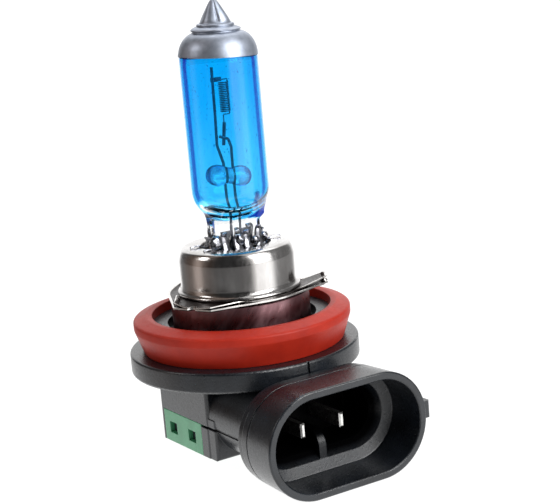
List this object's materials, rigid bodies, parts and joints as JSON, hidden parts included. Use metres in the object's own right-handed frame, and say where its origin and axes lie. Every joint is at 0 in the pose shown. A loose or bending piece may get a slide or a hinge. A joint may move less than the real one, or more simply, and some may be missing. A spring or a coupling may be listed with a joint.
{
  "type": "headlight bulb",
  "caption": "Single-ended halogen headlight bulb with a blue capsule, a silver glare cap, a bayonet lug ring, a silicone seal and an angled plug-in base.",
  "frame": {"origin": "centre of the locating collar at the reference plane, on the bulb's axis", "axes": "+Z along the bulb's axis to the glass tip, -Y out of the plug opening, X across the two terminals"},
  "size_m": [0.0316, 0.04, 0.0623],
  "materials": {
    "quartz_glass": "clear quartz with a blue filter coating, clear at the pinch",
    "bridge_glass": "clear fused glass",
    "silver_paint": "satin silver-grey heat-proof coating",
    "tungsten": "drawn tungsten wire, dull grey",
    "molybdenum": "drawn wire, slightly oxidised",
    "nickel_wire": "nickel-plated wire",
    "spring_steel": "bright stamped spring steel",
    "brushed_steel": "drawn and polished sheet, fine turned marks",
    "collar_steel": "drawn sheet with warm heat tint and scuffs",
    "red_silicone": "matt moulded silicone",
    "tinned_brass": "tin-plated, satin",
    "green_plastic": "fine-textured moulding",
    "black_plastic": "glass-filled moulding, satin, fine texture"
  },
  "bodies": {
    "root": {"glass_envelope": "quartz_glass", "glare_cap": "silver_paint", "filament": "tungsten", "filament_clamp": "molybdenum", "filament_sleeve": "molybdenum", "long_lead": "molybdenum", "short_lead": "molybdenum", "glass_bridge": "bridge_glass", "foil_left": "molybdenum", "foil_right": "molybdenum", "outer_lead_left": "nickel_wire", "outer_lead_right": "nickel_wire", "pinch_clip": "spring_steel", "capsule_cup": "brushed_steel", "lug_ring": "brushed_steel", "collar_sleeve": "collar_steel", "seal_ring": "red_silicone", "terminal_left": "tinned_brass", "terminal_right": "tinned_brass", "terminal_cover": "green_plastic", "base_housing": "black_plastic"}
  },
  "joints": []
}
